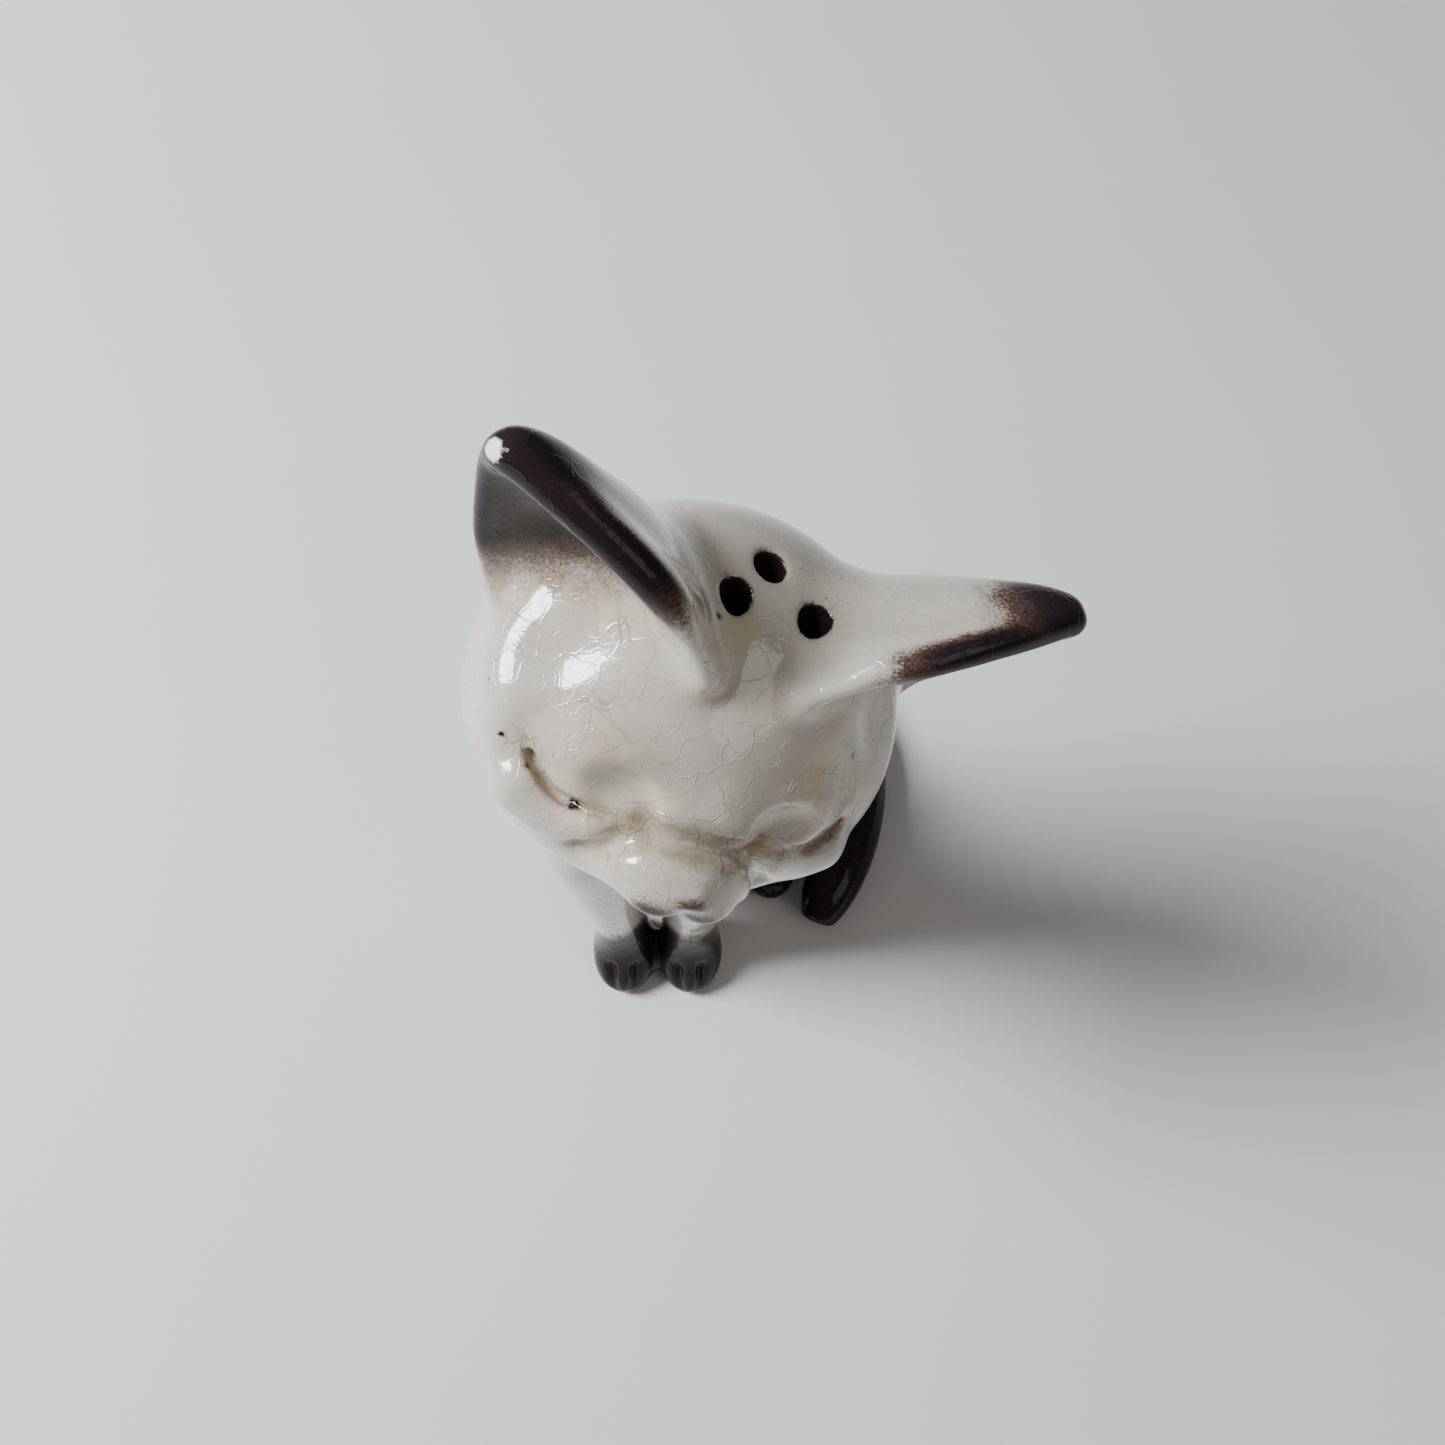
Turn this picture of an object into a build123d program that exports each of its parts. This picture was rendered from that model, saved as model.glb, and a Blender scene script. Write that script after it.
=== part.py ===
from build123d import *

import os
from math import cos, pi, sin

# Seated ceramic cat that pours salt from its crown: slip-cast parts luted together, and a cork stopper below.
#
# The cat faces -Y and +Z is up. Sizes are in millimetres and angles in degrees. The torso, legs and tail are
# modelled about the torso's axis. The head and ears are modelled in a head frame, level and facing -Y, and then
# pitched, rolled and set on the neck. At the end the whole cat moves so that its origin is at the bottom centre
# of its box.

# Driving dimensions
TORSO_HEIGHT = 52.5  # from the table to where the torso ends inside the head
TORSO_WIDTH = 35.0  # across the haunches
WALL = 3.0  # slip-cast wall of torso and head
BASE_WALL = 4.0  # floor of the torso, round the fill hole
FOOT_RING = 3.5  # width of the ring that the cat stands on
FOOT_RECESS = 0.8  # the floor inside the ring is this far up
HEAD_RISE = 9.5  # the skull's centre is this far above the torso's end
HEAD_PLACE = (4.7, -3.0, TORSO_HEIGHT + HEAD_RISE)  # centre of the skull
HEAD_PITCH = 21.5  # the nose points this far above level
HEAD_ROLL = 25.8  # the crown leans this far to the cat's left
HEAD_YAW = -3.0  # the face turns this far to the cat's right

# The head, from back to front: y, half width, height of the centre, half height
HEAD_SECTIONS = (
    (12.3, 3.6, 0.4, 3.4),
    (11.2, 7.8, 0.4, 7.2),
    (8.7, 13.4, 0.3, 11.8),
    (4.8, 17.3, 0.1, 14.9),
    (0.0, 18.8, -0.1, 15.6),
    (-5.5, 18.3, -0.9, 14.5),
    (-9.5, 16.2, -2.2, 12.2),
    (-12.8, 12.2, -3.4, 9.2),
    (-15.2, 8.2, -4.2, 6.4),
    (-17.4, 6.3, -4.3, 4.5),
    (-19.0, 4.6, -4.2, 3.3),
    (-20.0, 2.4, -4.1, 1.8),
)
HEAD_JOWL = 0.07  # a head section is this share wider below its centre than above
SKULL_RADII = (18.8, 16.5, 15.6)
PAD_RADIUS, PAD_PLACE = 3.7, (2.8, -15.9, -5.0)  # a whisker pad on each side of the mouth
CHIN_RADIUS, CHIN_PLACE = 3.0, (0.0, -13.8, -8.0)
NOSE_RADII, NOSE_PLACE = (2.2, 1.5, 1.3), (0.0, -19.3, -2.6)
EYE_RADII, EYE_PLACE, EYE_TURN = (5.6, 2.6, 3.1), (9.9, -12.2, 0.8), (0.0, 15.0, 33.0)

# An ear, from its root to its tip: height along the ear, half width, depth of its hollow, bulge of its back
EAR_SECTIONS = (
    (-4.0, 9.6, 0.8, 9.6),
    (0.0, 9.7, 2.2, 8.8),
    (5.0, 8.9, 2.4, 7.2),
    (10.0, 6.5, 1.8, 5.2),
    (14.0, 4.0, 0.9, 3.4),
    (16.4, 2.2, 0.2, 2.0),
    (17.4, 1.0, -0.2, 1.0),
)
EAR_RIM = 0.9  # half thickness of an ear's rim
EAR_ROOT, EAR_TIP = (12.1, -4.2, 8.1), (23.4, -4.9, 21.2)
EAR_SIDE = (0.68, 0.25, -0.69)  # runs from the ear's edge near the crown to its edge near the cheek
EAR_TURN = 25.0  # from there the ear turns this far about its length, so that it opens outwards

# Pour holes in the crown, in the head frame: x, y
POUR_HOLE_RADIUS = 1.25
POUR_HOLES = ((-2.9, -4.4), (0.0, -1.3), (4.0, -4.8))

# The torso, from the floor up: z, x, y, half width, half depth. The torso, forelegs, hind paws and tail are drawn
# 52.5 tall and 35 wide, and stretch to TORSO_HEIGHT and TORSO_WIDTH.
TORSO_SECTIONS = (
    (0.0, 2.4, 8.0, 15.6, 11.8),
    (2.5, 2.4, 8.0, 17.2, 13.2),
    (8.0, 2.3, 7.8, 17.5, 13.6),
    (16.0, 1.6, 6.0, 15.6, 13.2),
    (25.0, 0.5, 2.8, 12.8, 12.4),
    (33.0, -0.3, 0.4, 11.2, 11.4),
    (41.0, -1.0, -0.8, 9.9, 10.4),
    (49.0, -1.1, -1.5, 9.1, 9.2),
    (52.5, -0.7, -2.2, 8.3, 8.0),
)
TALL = TORSO_HEIGHT / TORSO_SECTIONS[-1][0]
WIDE = TORSO_WIDTH / 2 / max(row[3] for row in TORSO_SECTIONS)
CAVITY_TOP = 41.0 * TALL  # the torso's hollow ends at this section
PASSAGE_RADIUS = 4.0  # the way for salt from torso to head
PASSAGE_PLACE = (-0.8 * WIDE, -1.4)
PASSAGE_BOTTOM, PASSAGE_TOP = CAVITY_TOP - 4.0, TORSO_HEIGHT + 2.5  # inside the two hollows
FILL_HOLE_RADIUS = 7.5
FILL_HOLE_PLACE = (TORSO_SECTIONS[0][1] * WIDE, TORSO_SECTIONS[0][2])  # the middle of the floor

# A foreleg, from the paw up: z, x, y, half width, half depth
FORELEG_SECTIONS = (
    (0.0, 3.9, -12.2, 3.0, 4.2),
    (1.2, 3.9, -12.2, 3.7, 5.0),
    (3.2, 3.9, -12.1, 3.8, 4.9),
    (5.8, 3.9, -11.2, 3.4, 4.0),
    (10.0, 4.0, -10.4, 3.2, 3.4),
    (20.0, 4.8, -9.4, 3.8, 4.1),
    (30.0, 5.8, -8.2, 4.6, 5.0),
    (37.0, 6.0, -7.6, 4.6, 5.0),
    (42.0, 5.2, -6.4, 3.8, 4.4),
    (46.0, 4.0, -4.8, 2.0, 2.6),
)
HAUNCH_MIDDLE = TORSO_SECTIONS[0][1] * WIDE
HIND_PAW_RADII = (3.8, 6.2, 3.8)
HIND_PAW_PLACE = (10.6 * WIDE, 0.6, 1.5)  # x is from the haunches' middle
HIND_PAW_TURN = 10.0  # the toes point this far outwards

# The tail lies on the floor round the cat's left side: x, y and radius along its middle line
TAIL_SINK = 0.86  # its middle line is this share of its radius above the floor, so that it lies on a flat
TAIL_SECTIONS = (
    (-1.0, 22.4, 3.4),
    (8.0, 25.0, 3.8),
    (16.6, 23.0, 3.9),
    (22.6, 16.6, 3.9),
    (24.2, 8.0, 3.8),
    (22.8, 0.2, 3.6),
    (20.4, -5.6, 3.1),
    (19.2, -8.4, 2.0),
)

# The cork stopper
CORK_CLEARANCE = 0.05  # between the fill hole and the cork's wide end
CORK_HEIGHT = 1.3  # the cork's wide end is this far above the table
CORK_LENGTH = 10.0
CORK_TAPER = 1.0  # the narrow end's radius is this much smaller
CORK_CHAMFER = 0.5

OUTLINE_POINTS = 16  # a closed outline's curve passes through this many points


def outline(plane, half_width, half_depth, lean=0.0):
    """A face inside a smooth closed curve, an ellipse that lean makes wider on the plane's lower side."""
    turns = [2 * pi * i / OUTLINE_POINTS for i in range(OUTLINE_POINTS)]
    points = [(half_width * cos(t) * (1 - lean * sin(t)), half_depth * sin(t)) for t in turns]
    return plane * make_face(Spline(points, periodic=True))


def ellipsoid(radii, place, turn=(0, 0, 0)):
    return Pos(*place) * Rot(*turn) * scale(Sphere(1), by=radii)


def stretched(sections):
    """Drawn sections at the torso's real height and width."""
    return [(z * TALL, x * WIDE, y, width * WIDE, depth) for z, x, y, width, depth in sections]


def standing_loft(sections, inset=0.0):
    """A loft through level outlines: z, x, y, half width and half depth."""
    rows = [(Plane((x, y, z)), half_width, half_depth) for z, x, y, half_width, half_depth in sections]
    return loft([outline(plane, width - inset, depth - inset) for plane, width, depth in rows])


def mirrored(shape, middle=0.0):
    """The same shape on the cat's other side, about the upright plane at X = middle."""
    return shape.mirror(Plane.YZ.offset(middle))


def above_floor(shape):
    """The shape without what is below the table."""
    return shape & Pos(0, 0, 100) * Box(400, 400, 200)


def set_on_neck(shape):
    """Move a shape from the head frame to its place on the cat."""
    return Pos(*HEAD_PLACE) * Rot(0, 0, HEAD_YAW) * Rot(0, HEAD_ROLL, 0) * Rot(-HEAD_PITCH, 0, 0) * shape


def head_loft():
    """The skull and muzzle in the head frame, without ears."""
    faces = []
    for y, half_width, middle, half_height in HEAD_SECTIONS:
        plane = Plane(origin=(0, y, middle), x_dir=(1, 0, 0), z_dir=(0, -1, 0))
        faces.append(outline(plane, half_width, half_height, HEAD_JOWL))
    return loft(faces)


def head_features():
    """The whisker pads, chin, nose and closed eyes that stand out from the skull."""
    pad = Pos(*PAD_PLACE) * Sphere(PAD_RADIUS)
    eye = ellipsoid(EYE_RADII, EYE_PLACE, EYE_TURN)
    chin = Pos(*CHIN_PLACE) * Sphere(CHIN_RADIUS)
    nose = ellipsoid(NOSE_RADII, NOSE_PLACE)
    return [pad, mirrored(pad), eye, mirrored(eye), chin, nose]


def pour_holes():
    """The drills for the holes in the crown, in the head frame."""
    depth = SKULL_RADII[2]
    return [Pos(x, y, depth) * Cylinder(POUR_HOLE_RADIUS, depth) for x, y in POUR_HOLES]


def passage():
    """The way for salt from the torso's hollow to the head's."""
    drill = Cylinder(PASSAGE_RADIUS, PASSAGE_TOP - PASSAGE_BOTTOM, align=(Align.CENTER, Align.CENTER, Align.MIN))
    return Pos(*PASSAGE_PLACE, PASSAGE_BOTTOM) * drill


def head_outside():
    head = head_loft()
    for feature in head_features():
        head += feature
    return head


def head_shell():
    """The hollow head, on the neck."""
    hollow = scale(head_loft(), by=tuple(1 - WALL / radius for radius in SKULL_RADII))
    head = head_outside() - hollow
    for drill in pour_holes():
        head -= drill
    return set_on_neck(head) - passage()


def crescent(plane, half_width, hollow, bulge):
    """An ear's section: hollow towards -Y and bulging towards +Y, with its rim on the section's X axis."""
    points = []
    for i in range(OUTLINE_POINTS):
        t = 2 * pi * i / OUTLINE_POINTS
        inwards = sin(t) ** 2
        half_thickness = EAR_RIM + ((bulge - hollow) / 2 - EAR_RIM) * inwards
        points.append((half_width * cos(t), half_thickness * sin(t) + (bulge + hollow) / 2 * inwards))
    return plane * (Rot(0, 0, EAR_TURN) * make_face(Spline(points, periodic=True)))


def left_ear():
    """The ear on +X, in the head frame, cupped towards the front."""
    root, tip, side = Vector(EAR_ROOT), Vector(EAR_TIP), Vector(EAR_SIDE)
    up = (tip - root).normalized()
    faces = []
    for height, half_width, hollow, bulge in EAR_SECTIONS:
        plane = Plane(origin=root + up * height, x_dir=side, z_dir=side.cross(up).cross(side))
        faces.append(crescent(plane, half_width, hollow, bulge))
    return loft(faces)


def torso_outside():
    return standing_loft(stretched(TORSO_SECTIONS))


def torso_hollow():
    """The salt space: the torso's outline less its wall, from the floor to the neck."""
    rows = [row for row in stretched(TORSO_SECTIONS) if BASE_WALL < row[0] <= CAVITY_TOP]
    floor = (BASE_WALL, *rows[0][1:])
    return standing_loft([floor, *rows], inset=WALL)


def body_shell(torso, head):
    """The hollow torso with its foot ring and fill hole, cut to the head that sits on it."""
    z, x, y, half_width, half_depth = stretched(TORSO_SECTIONS)[0]
    recess = extrude(outline(Plane((x, y, z)), half_width - FOOT_RING, half_depth - FOOT_RING), FOOT_RECESS)
    fill_hole = Pos(*FILL_HOLE_PLACE, 0) * Cylinder(FILL_HOLE_RADIUS, 4 * BASE_WALL)
    return torso - head - torso_hollow() - passage() - recess - fill_hole


def hind_paw():
    """The hind paw on +X, with only its toes in front of the haunch."""
    x, y, z = HIND_PAW_PLACE
    return above_floor(ellipsoid(HIND_PAW_RADII, (HAUNCH_MIDDLE + x, y, z), (0, 0, HIND_PAW_TURN)))


def tail():
    """The tail, a loft of upright sections along a curve on the floor."""
    centres = [(x * WIDE, y, radius * TAIL_SINK) for x, y, radius in TAIL_SECTIONS]
    middle = Spline(centres)
    faces = []
    for place, (_, _, radius) in zip(centres, TAIL_SECTIONS):
        centre = Vector(*place)
        along = middle.tangent_at(middle.param_at_point(centre))
        faces.append(outline(Plane(origin=centre, x_dir=Vector(0, 0, 1).cross(along), z_dir=along), radius, radius))
    return above_floor(loft(faces))


def cork_stopper():
    """A tapered cork, wide end down, in the fill hole."""
    wide = FILL_HOLE_RADIUS - CORK_CLEARANCE
    cork = Cone(wide, wide - CORK_TAPER, CORK_LENGTH, align=(Align.CENTER, Align.CENTER, Align.MIN))
    cork = chamfer(cork.edges(), CORK_CHAMFER)
    return Pos(*FILL_HOLE_PLACE, CORK_HEIGHT) * cork


def build_parts():
    """Every part of the cat by name, each cut to the neighbours that it was luted to."""
    torso = torso_outside()
    head = set_on_neck(head_outside())
    ear = left_ear()
    foreleg = standing_loft(stretched(FORELEG_SECTIONS))
    right_foreleg = mirrored(foreleg)
    paw = hind_paw()
    return {
        "head_shell": head_shell(),
        "left_ear": set_on_neck(ear) - head,
        "right_ear": set_on_neck(mirrored(ear)) - head,
        "body_shell": body_shell(torso, head),
        "left_foreleg": foreleg - torso,
        "right_foreleg": right_foreleg - torso,
        "left_hind_paw": paw - torso - foreleg,
        "right_hind_paw": mirrored(paw, HAUNCH_MIDDLE) - torso - right_foreleg,
        "tail": tail() - torso - paw,
        "cork_stopper": cork_stopper(),
    }


def largest_solid(shape):
    """The part itself, without slivers that a cut left."""
    return max(shape.solids(), key=lambda solid: solid.volume)


def main():
    parts = {name: largest_solid(shape) for name, shape in build_parts().items()}
    box = Compound(list(parts.values())).bounding_box()
    to_origin = Pos(-box.center().X, -box.center().Y, -box.min.Z)
    print("moved by", tuple(to_origin.position), "size", tuple(box.size))
    os.makedirs("parts", exist_ok=True)
    for name, solid in parts.items():
        export_step(to_origin * solid, os.path.join("parts", name + ".step"))


main()
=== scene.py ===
"""The looks of a hollow ceramic cat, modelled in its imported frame.

The ceramic is sculpted as one distance field. The CAD solids are run together as slip and glaze would join
them. The face, ears, paws and thighs are worked into the field, and its surface is cut back into one piece
for each CAD node. Lengths in the sculpting code are in millimetres. The head is worked in a head frame, level
and facing -Y, with +X on the cat's left.
"""

import math

import bpy
import numpy as np
import openvdb as vdb
from mathutils import Matrix, Vector, noise

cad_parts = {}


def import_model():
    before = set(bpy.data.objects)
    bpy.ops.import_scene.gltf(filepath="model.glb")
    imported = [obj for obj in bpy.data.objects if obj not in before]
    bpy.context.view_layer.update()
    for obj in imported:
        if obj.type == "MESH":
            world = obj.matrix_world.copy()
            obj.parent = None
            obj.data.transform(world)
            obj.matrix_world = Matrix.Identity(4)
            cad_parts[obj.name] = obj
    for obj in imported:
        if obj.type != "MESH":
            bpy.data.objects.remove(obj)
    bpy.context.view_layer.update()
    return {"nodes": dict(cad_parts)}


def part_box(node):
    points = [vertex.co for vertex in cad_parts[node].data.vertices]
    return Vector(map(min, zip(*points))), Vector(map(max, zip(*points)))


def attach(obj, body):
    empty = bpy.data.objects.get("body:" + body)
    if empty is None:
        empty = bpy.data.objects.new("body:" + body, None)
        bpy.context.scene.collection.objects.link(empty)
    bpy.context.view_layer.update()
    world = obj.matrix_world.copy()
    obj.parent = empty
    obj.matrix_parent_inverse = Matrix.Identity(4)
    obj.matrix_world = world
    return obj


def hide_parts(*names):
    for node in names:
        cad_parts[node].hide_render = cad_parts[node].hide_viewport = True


MM = 0.001

# The head's place in the row frame, as in the CAD model
SKULL = np.array((-5.462, -5.515, 62.0))
HEAD_PITCH, HEAD_ROLL, HEAD_YAW = 21.5, 25.8, -3.0

# The distance field
VOXEL = 0.32
BAND = 13  # voxels of true distance on each side of a surface
FAR = VOXEL * BAND
FIELD_MARGIN = 2.5  # the grid reaches this far past the ceramic

# How widely two parts run together
EAR_BLEND = 3.0
NECK_BLEND = 2.6
LIMB_BLEND = 1.8

# Ear frame, on the cat's left: root, tip, and the way from its edge near the crown to its edge near the cheek
EAR_ROOT = np.array((12.1, -4.2, 8.1))
EAR_TIP = np.array((23.4, -4.9, 21.2))
EAR_SIDE = np.array((0.68, 0.25, -0.69))
EAR_TURN = 25.0  # degrees that the ear is turned about its length, as in the CAD model
# The rolled edge from the tip to the forehead: height up the ear, share of its half width, radius
EAR_ROLL = ((16.4, -0.10, 0.9), (13.5, -0.70, 1.0), (9.0, -0.92, 1.2), (4.5, -0.92, 1.2), (1.0, -0.84, 1.0))
EAR_ROLL_SINK = (0.0, 0.0, 0.2, 0.8, 1.9)  # each point lies this far below the ear's middle surface
EAR_ROLL_BLEND = 2.2
EAR_GROWTH = 0.7  # glaze and slip round off an ear's edges
EAR_WIDTHS = ((-4.0, 9.6), (0.0, 9.7), (5.0, 8.9), (10.0, 6.5), (14.0, 4.0), (16.4, 2.2), (17.4, 1.0))
EAR_DISH_PLACE, EAR_DISH_RADII, EAR_DISH_BLEND = (17.6, -9.4, 10.6), (6.8, 5.8, 8.0), 2.6

# The face on the cat's left, in the head frame. Each line is settled on the surface before it is worked in.
LID_CREASE = (
    (13.8, -10.5, -1.7), (12.3, -11.7, -2.9), (11.2, -12.7, -3.1), (9.9, -13.6, -2.8),
    (8.4, -14.6, -2.0), (6.8, -15.4, -1.1), (5.5, -15.7, -0.4), (5.1, -15.5, 0.3),
)
LID_CORNER = LID_CREASE[-2]
LID_HOLLOW_PLACE, LID_HOLLOW_RADII, LID_HOLLOW_LIFT = (7.6, -14.6, 0.5), (3.8, 2.4, 2.2), 0.9
CHEEK_RIDGE = (
    (13.4, -10.8, -5.0), (11.6, -12.4, -5.2), (9.6, -13.6, -4.8), (7.4, -15.2, -3.1), (5.9, -16.0, -1.6),
)
CHEEK_RIDGE_RADII = (2.2, 2.0, 1.6, 1.0, 0.7)
CHEEK_RIDGE_SINK, CHEEK_RIDGE_BLEND = 0.7, 1.8
EYE_MELT_PLACE, EYE_MELT_RADIUS, EYE_MELT_ROUNDS = (10.2, -13.2, 0.6), 9.0, 120
MUZZLE_MELT_PLACE, MUZZLE_MELT_RADIUS, MUZZLE_MELT_ROUNDS = (0.0, -18.4, -3.4), 7.5, 90
FACE_SOFTEN_PLACE, FACE_SOFTEN_RADIUS, FACE_SOFTEN_ROUNDS = (0.0, -16.5, -2.5), 15.0, 3
MUZZLE_PLACE, MUZZLE_RADII = (-0.6, -16.0, -4.4), (5.7, 4.4, 3.9)
LIP_PLACE, LIP_RADII = (2.0, -17.3, -5.4), (2.8, 3.1, 2.5)
NOSE_STOP = ((4.2, -16.5, -1.4), (3.6, -16.85, -0.9), (1.8, -17.25, -0.55), (0.0, -17.4, -0.4))
NOSE_STOP_LEFT_DEPTH, NOSE_STOP_RIGHT_DEPTH = 0.7, 0.45
CHEEK_VALLEY = (
    (5.5, -16.1, -2.0), (6.1, -16.2, -2.9), (6.6, -16.1, -3.7), (7.2, -15.8, -5.2), (8.2, -14.8, -6.8),
)
NOSE_CLEFT = ((0.0, -20.4, -4.6), (0.0, -20.2, -5.6), (0.0, -19.0, -7.6))
MOUTH = ((0.0, -19.6, -6.6), (1.8, -19.6, -7.2), (3.6, -18.2, -7.0), (4.6, -16.8, -6.6))
NOSE_PLACE, NOSE_RADII = (0.0, -20.1, -3.7), (1.6, 0.7, 0.9)
EYE_PAINT = ((-9.9, -13.6, -2.8), 0.5)
PAINT_SPECKS = (
    ((-13.9, -11.5, -1.8), 0.28), ((-16.2, -9.4, -1.5), 0.24), ((-4.9, -6.3, 12.4), 0.22),
    ((12.1, -9.5, 5.3), 0.26), ((4.5, -15.8, 0.3), 0.30),
)
# A chip near the cat's right ear tip, painted near white partly as a glint on its rough face
CHIP_AND_GLINT_PLACE, CHIP_AND_GLINT_RADIUS = (-24.0, -5.2, 21.0), 0.75
YELLOW_STAINS = (((-2.1, -6.7, 12.6), 1.6), ((13.1, -1.7, 11.5), 1.9), ((8.1, -11.9, 4.7), 1.2))

# Pour holes in the crown, in the head frame
POUR_HOLES = ((-2.9, -4.4), (0.0, -1.3), (4.0, -4.8))
POUR_HOLE_RADIUS = 1.25
# Ellipsoids, as places and radii, that make the skull and muzzle solid until the hollow is cut
HEAD_FILLING = (
    ((0, -0.5, 0), (17, 12.4, 14)),
    ((0, -10.5, -3), (11, 4.2, 8)),
    ((0, -13.5, -3.4), (7.4, 3.8, 5.6)),
)
HEAD_REACH = 24.0  # all of them lie within this distance of the skull's centre
HEAD_HOLLOW = ((0, -1, -1), (13.2, 10, 10))
PASSAGE = ((-10.96, -3.91, 37.0), (-10.96, -3.91, 57.0))
PASSAGE_RADIUS = 4.0

# Body details in the row frame
BODY_MIDDLE = -10.16
HAUNCH_MIDDLE = -7.8
FOREPAW = (3.9, -14.6)  # from the body's middle, and its middle line's Y
TOE_OFFSET = 1.25
HIND_PAW = (10.6, -1.9)  # from the haunches' middle
THIGH_PLACE, THIGH_RADII = (9.6, 4.2, 10.5), (9.0, 10.4, 12.0)
TAIL_ROOT_PLACE, TAIL_ROOT_RADII, TAIL_ROOT_BLEND = (-12.3, 18.8, 3.0), (5.4, 4.4, 3.8), 2.2
PAW_DARK, PAW_FADE = 10.5, 17.0  # the forelegs are dark up to here and cream from there
HIND_PAW_DARK_HEIGHT, HIND_PAW_DARK_RADII = 1.5, (5.2, 7.2, 5.2)
NECK_HEIGHT = 38.0  # the head's colours start above here
FOOT_RING_HEIGHT = 0.5

# The cork, in metres
CORK_CLEARANCE = 0.00001
CORK_TAPER = 0.001
CORK_EDGE = 0.0005
CORK_PIT_DEPTH = 0.0007
CORK_AROUND, CORK_RINGS = 144, 44

# Stage, in metres and watts
FLOOR_HALF = 1.5
LIGHT_TARGET = (-0.005, -0.005, 0.06)
WINDOW_PLACE, WINDOW_SIZE, WINDOW_POWER = (-0.40, 0.03, 0.42), (0.20, 0.24), 7.0
WINDOW_COLOUR = (0.90, 0.95, 1.0)
FILL_PLACE, FILL_SIZE, FILL_POWER = (0.45, -0.35, 0.50), (0.4, 0.4), 0.8
FILL_COLOUR = (1.0, 0.95, 0.88)
SKY_COLOUR, SKY_STRENGTH = (0.90, 0.93, 1.0, 1), 0.15

# Camera: its place from the skull's centre in millimetres, its turns in degrees
CAMERA_OFFSET = np.array((2.9, -49.1, 112.1))
CAMERA_TILT, CAMERA_ROLL = 22.0, 0.4
LENS = 36.1
SENSOR = 36.0

CERAMIC_NODES = (
    "head_shell", "left_ear", "right_ear", "body_shell", "left_foreleg", "right_foreleg",
    "left_hind_paw", "right_hind_paw", "tail",
)


def head_turn():
    """The head frame's axes in the row frame, as the columns of a matrix."""
    yaw = Matrix.Rotation(math.radians(HEAD_YAW), 3, "Z")
    roll = Matrix.Rotation(math.radians(HEAD_ROLL), 3, "Y")
    pitch = Matrix.Rotation(math.radians(-HEAD_PITCH), 3, "X")
    return np.array(yaw @ roll @ pitch)


HEAD_TURN = head_turn()


def to_row(points):
    """Head-frame points in the row frame."""
    return np.asarray(points, float) @ HEAD_TURN.T + SKULL


def to_head(points):
    """Row-frame points in the head frame."""
    return (np.asarray(points) - SKULL) @ HEAD_TURN


def on_side(points, side):
    """Points on the cat's left (side 1) or their mirror images on its right (side -1)."""
    return [(side * x, y, z) for x, y, z in points]


def smooth_step(low, high, value):
    """0 at low, 1 at high, with level ends."""
    share = np.clip((value - low) / (high - low), 0, 1)
    return share * share * (3 - 2 * share)


def smooth_min(a, b, blend):
    """The union of two distances, run together over a width of about blend where both are near."""
    share = np.clip(0.5 + 0.5 * (b - a) / blend, 0, 1)
    near = np.minimum(np.abs(a), np.abs(b)) < FAR - EAR_GROWTH - VOXEL
    return b + (a - b) * share - blend * share * (1 - share) * near


def smooth_max(a, b, blend):
    """The overlap of two distances, run together in the same way."""
    return -smooth_min(-a, -b, blend)


# Distances, from arrays of X, Y and Z


def ellipsoid(x, y, z, place, radii):
    """About the distance to an ellipsoid along the axes of x, y and z."""
    u, v, w = ((q - c) / r for q, c, r in zip((x, y, z), place, radii))
    near = np.sqrt(u * u + v * v + w * w)
    slope = np.sqrt((u / radii[0]) ** 2 + (v / radii[1]) ** 2 + (w / radii[2]) ** 2)
    return near * (near - 1) / np.maximum(slope, 1e-6)


def chain(x, y, z, points, radii=None):
    """The distance to a chain of straight links, less a radius that may change from point to point."""
    radii = np.zeros(len(points)) if radii is None else radii
    best = None
    for i in range(len(points) - 1):
        a = np.asarray(points[i], float)
        link = np.asarray(points[i + 1], float) - a
        share = ((x - a[0]) * link[0] + (y - a[1]) * link[1] + (z - a[2]) * link[2]) / float(link @ link)
        share = np.clip(share, 0, 1)
        gap = (x - a[0] - share * link[0]) ** 2 + (y - a[1] - share * link[1]) ** 2
        gap = np.sqrt(gap + (z - a[2] - share * link[2]) ** 2) - radii[i] - share * (radii[i + 1] - radii[i])
        best = gap if best is None else np.minimum(best, gap)
    return best


def curve_through(points, steps=6):
    """Points along a smooth curve through the given ones."""
    p = np.asarray(points, float)
    p = np.vstack((2 * p[0] - p[1], p, 2 * p[-1] - p[-2]))
    out = []
    for i in range(1, len(p) - 2):
        for t in np.linspace(0, 1, steps, endpoint=False):
            a = 2 * p[i]
            b = (p[i + 1] - p[i - 1]) * t
            c = (2 * p[i - 1] - 5 * p[i] + 4 * p[i + 1] - p[i + 2]) * t * t
            d = (3 * p[i] - p[i - 1] - 3 * p[i + 1] + p[i + 2]) * t ** 3
            out.append((a + b + c + d) / 2)
    out.append(p[-2])
    return np.array(out)


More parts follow.
